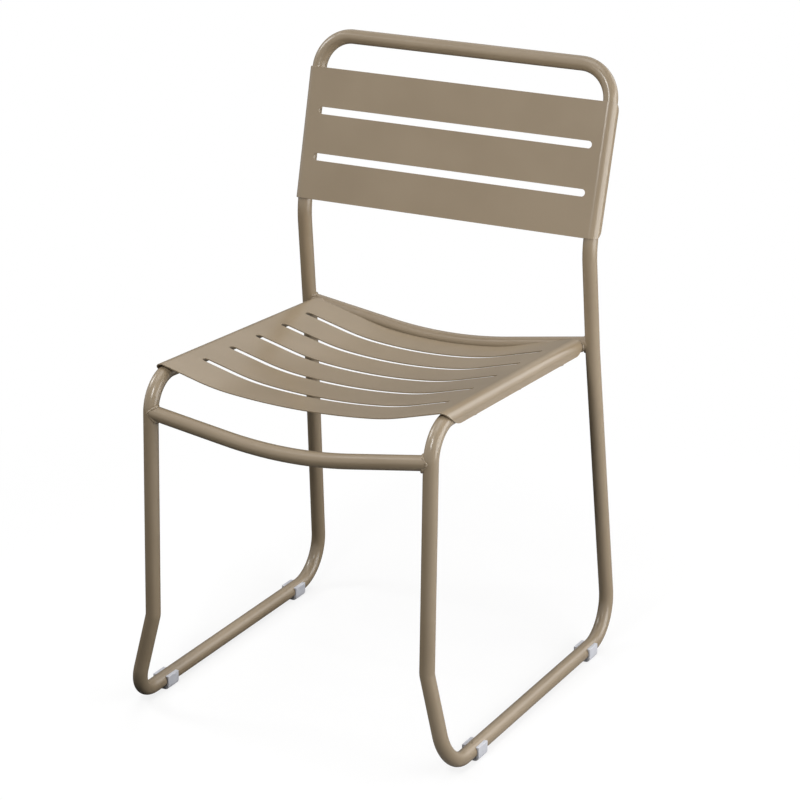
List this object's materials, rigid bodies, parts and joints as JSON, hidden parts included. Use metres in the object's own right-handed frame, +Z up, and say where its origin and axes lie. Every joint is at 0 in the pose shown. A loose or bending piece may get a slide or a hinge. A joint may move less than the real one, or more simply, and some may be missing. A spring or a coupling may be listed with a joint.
{
  "type": "metal dining chair",
  "caption": "Stacking metal chair: bent round-tube sled frame, slotted dished sheet seat rolled over the rails, slotted sheet back, plastic clips under the runners.",
  "frame": {"origin": "middle of the overall box on the floor, under the soles of the glides", "axes": "+Z up, the sitter faces -Y, +X to the sitter's left"},
  "size_m": [0.4694, 0.501, 0.7888],
  "materials": {
    "powder_coat": "satin taupe powder coat",
    "bare_steel": "plain drawn steel",
    "clear_plastic": "translucent grey-white moulded plastic"
  },
  "bodies": {
    "root": {"back_hoop": "powder_coat", "side_frame_left": "powder_coat", "side_frame_right": "powder_coat", "front_stretcher": "powder_coat", "rear_stretcher": "powder_coat", "seat_panel": "powder_coat", "back_panel": "powder_coat", "weld_front_left": "powder_coat", "weld_front_right": "powder_coat", "weld_rear_left": "powder_coat", "weld_rear_right": "powder_coat", "weld_rail_left": "powder_coat", "weld_rail_right": "powder_coat", "seat_tacks_left": "powder_coat", "seat_tacks_right": "powder_coat", "back_tacks_left": "powder_coat", "back_tacks_right": "powder_coat", "hoop_sleeve_left": "bare_steel", "hoop_sleeve_right": "bare_steel", "glide_front_left": "clear_plastic", "glide_front_right": "clear_plastic", "glide_rear_left": "clear_plastic", "glide_rear_right": "clear_plastic"}
  },
  "joints": []
}
